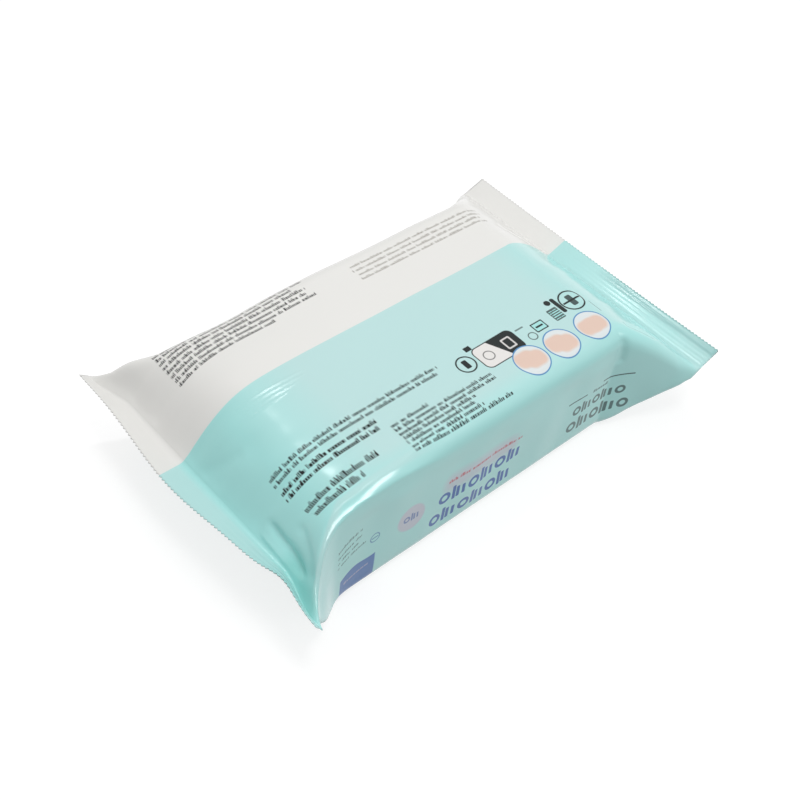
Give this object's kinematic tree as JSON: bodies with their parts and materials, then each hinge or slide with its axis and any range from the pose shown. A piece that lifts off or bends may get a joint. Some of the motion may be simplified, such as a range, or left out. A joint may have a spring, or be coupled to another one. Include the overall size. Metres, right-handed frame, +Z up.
{
  "type": "wet wipes pack",
  "caption": "Soft film pack of wet wipes lying on its face: a padded block in printed film with a crimped, zig-zag cut seal at each end.",
  "frame": {"origin": "centre of the bounding box at the flat underside the pack rests on", "axes": "+X along the pack's length towards the end with the gentle slope, +Y across its width towards the off-white band, +Z up from the face it lies on"},
  "size_m": [0.2414, 0.1552, 0.06],
  "materials": {
    "printed_film": "soft gloss printed film, turquoise with an off-white band along one long side"
  },
  "bodies": {
    "root": {"wipes_pack": "printed_film"}
  },
  "joints": []
}
